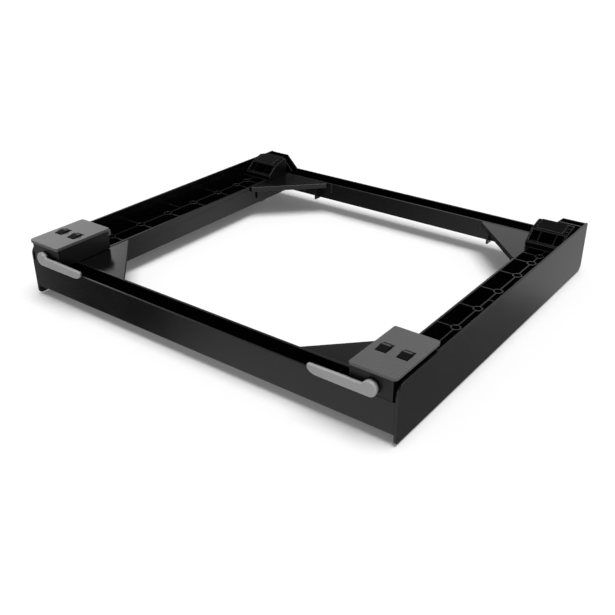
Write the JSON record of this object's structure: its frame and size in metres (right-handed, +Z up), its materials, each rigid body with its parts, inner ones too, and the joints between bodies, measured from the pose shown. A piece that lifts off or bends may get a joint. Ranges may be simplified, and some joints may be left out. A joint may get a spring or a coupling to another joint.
{
  "type": "wheeled appliance stand",
  "caption": "Low moulded stand on wheels for a kitchen or laundry appliance, with ribbed side rails, corner pads and front levers that brake the wheels.",
  "frame": {"origin": "centre of the footprint, on the floor under the wheels", "axes": "+X along the front, towards the right-hand rail as seen from the front; +Y from the front to the back; +Z up"},
  "size_m": [0.6, 0.547, 0.0889],
  "materials": {
    "black_plastic": "satin moulded plastic",
    "soft_black_plastic": "fine grained moulded plastic",
    "grey_plastic": "fine grained moulded plastic",
    "lever_plastic": "smooth moulded plastic",
    "rubber": "matt rubber",
    "tyre": "matt rubber",
    "bearing_plastic": "smooth slippery plastic",
    "steel": "zinc plated"
  },
  "bodies": {
    "frame": {"left_rail": "black_plastic", "right_rail": "black_plastic", "front_bar": "black_plastic", "rear_bar": "black_plastic", "front_left_gusset": "black_plastic", "front_right_gusset": "black_plastic", "rear_left_gusset": "black_plastic", "rear_right_gusset": "black_plastic", "gusset_screws": "steel", "housing_screws": "steel", "left_front_housing": "soft_black_plastic", "right_front_housing": "soft_black_plastic", "left_rear_housing": "soft_black_plastic", "right_rear_housing": "soft_black_plastic", "left_plate": "grey_plastic", "right_plate": "grey_plastic", "left_grip_pad": "rubber", "right_grip_pad": "rubber", "left_rear_cap": "soft_black_plastic", "right_rear_cap": "soft_black_plastic", "front_left_axle": "steel", "front_right_axle": "steel", "rear_left_axle": "steel", "rear_right_axle": "steel", "axle_clips": "steel", "thrust_washers": "bearing_plastic", "left_shaft_bush": "bearing_plastic", "right_shaft_bush": "bearing_plastic", "left_guide_pins": "steel", "right_guide_pins": "steel"},
    "front_left_wheel": {"front_left_rim": "soft_black_plastic", "front_left_tyre": "tyre", "front_left_bush": "bearing_plastic"},
    "front_right_wheel": {"front_right_rim": "soft_black_plastic", "front_right_tyre": "tyre", "front_right_bush": "bearing_plastic"},
    "rear_left_wheel": {"rear_left_rim": "soft_black_plastic", "rear_left_tyre": "tyre", "rear_left_bush": "bearing_plastic"},
    "rear_right_wheel": {"rear_right_rim": "soft_black_plastic", "rear_right_tyre": "tyre", "rear_right_bush": "bearing_plastic"},
    "left_lever_arm": {"left_lever": "lever_plastic", "left_lever_shaft": "steel", "left_shaft_clip": "steel", "left_cam": "steel"},
    "right_lever_arm": {"right_lever": "lever_plastic", "right_lever_shaft": "steel", "right_shaft_clip": "steel", "right_cam": "steel"},
    "left_brake": {"left_brake_shoe": "soft_black_plastic", "left_brake_lining": "rubber", "left_brake_springs": "steel"},
    "right_brake": {"right_brake_shoe": "soft_black_plastic", "right_brake_lining": "rubber", "right_brake_springs": "steel"}
  },
  "joints": [
    {"name": "left_lever_press", "type": "hinge", "parent": "frame", "child": "left_lever_arm", "pos_m": [-0.2685, -0.2665, 0.0656], "axis": [0, 1, 0], "range_deg": [0, 40]},
    {"name": "left_brake_slide", "type": "slide", "parent": "frame", "child": "left_brake", "axis": [0, 0, -1], "range_m": [0, 0.003], "stiffness_N_per_m": 60, "springref_m": -0.002, "deforming": ["left_brake_springs"]},
    {"name": "right_lever_press", "type": "hinge", "parent": "frame", "child": "right_lever_arm", "pos_m": [0.2685, -0.2665, 0.0656], "axis": [0, -1, 0], "range_deg": [0, 40]},
    {"name": "right_brake_slide", "type": "slide", "parent": "frame", "child": "right_brake", "axis": [0, 0, -1], "range_m": [0, 0.003], "stiffness_N_per_m": 60, "springref_m": -0.002, "deforming": ["right_brake_springs"]},
    {"name": "front_left_wheel_turn", "type": "hinge", "parent": "frame", "child": "front_left_wheel", "pos_m": [-0.283, -0.203, 0.02], "axis": [1, 0, 0], "continuous": true},
    {"name": "front_right_wheel_turn", "type": "hinge", "parent": "frame", "child": "front_right_wheel", "pos_m": [0.283, -0.203, 0.02], "axis": [1, 0, 0], "continuous": true},
    {"name": "rear_left_wheel_turn", "type": "hinge", "parent": "frame", "child": "rear_left_wheel", "pos_m": [-0.283, 0.214, 0.02], "axis": [1, 0, 0], "continuous": true},
    {"name": "rear_right_wheel_turn", "type": "hinge", "parent": "frame", "child": "rear_right_wheel", "pos_m": [0.283, 0.214, 0.02], "axis": [1, 0, 0], "continuous": true}
  ],
  "couplings": [
    {"joint": "left_brake_slide", "follows": "left_lever_press", "m_per_rad": 0.0042972},
    {"joint": "right_brake_slide", "follows": "right_lever_press", "m_per_rad": 0.0042972}
  ]
}
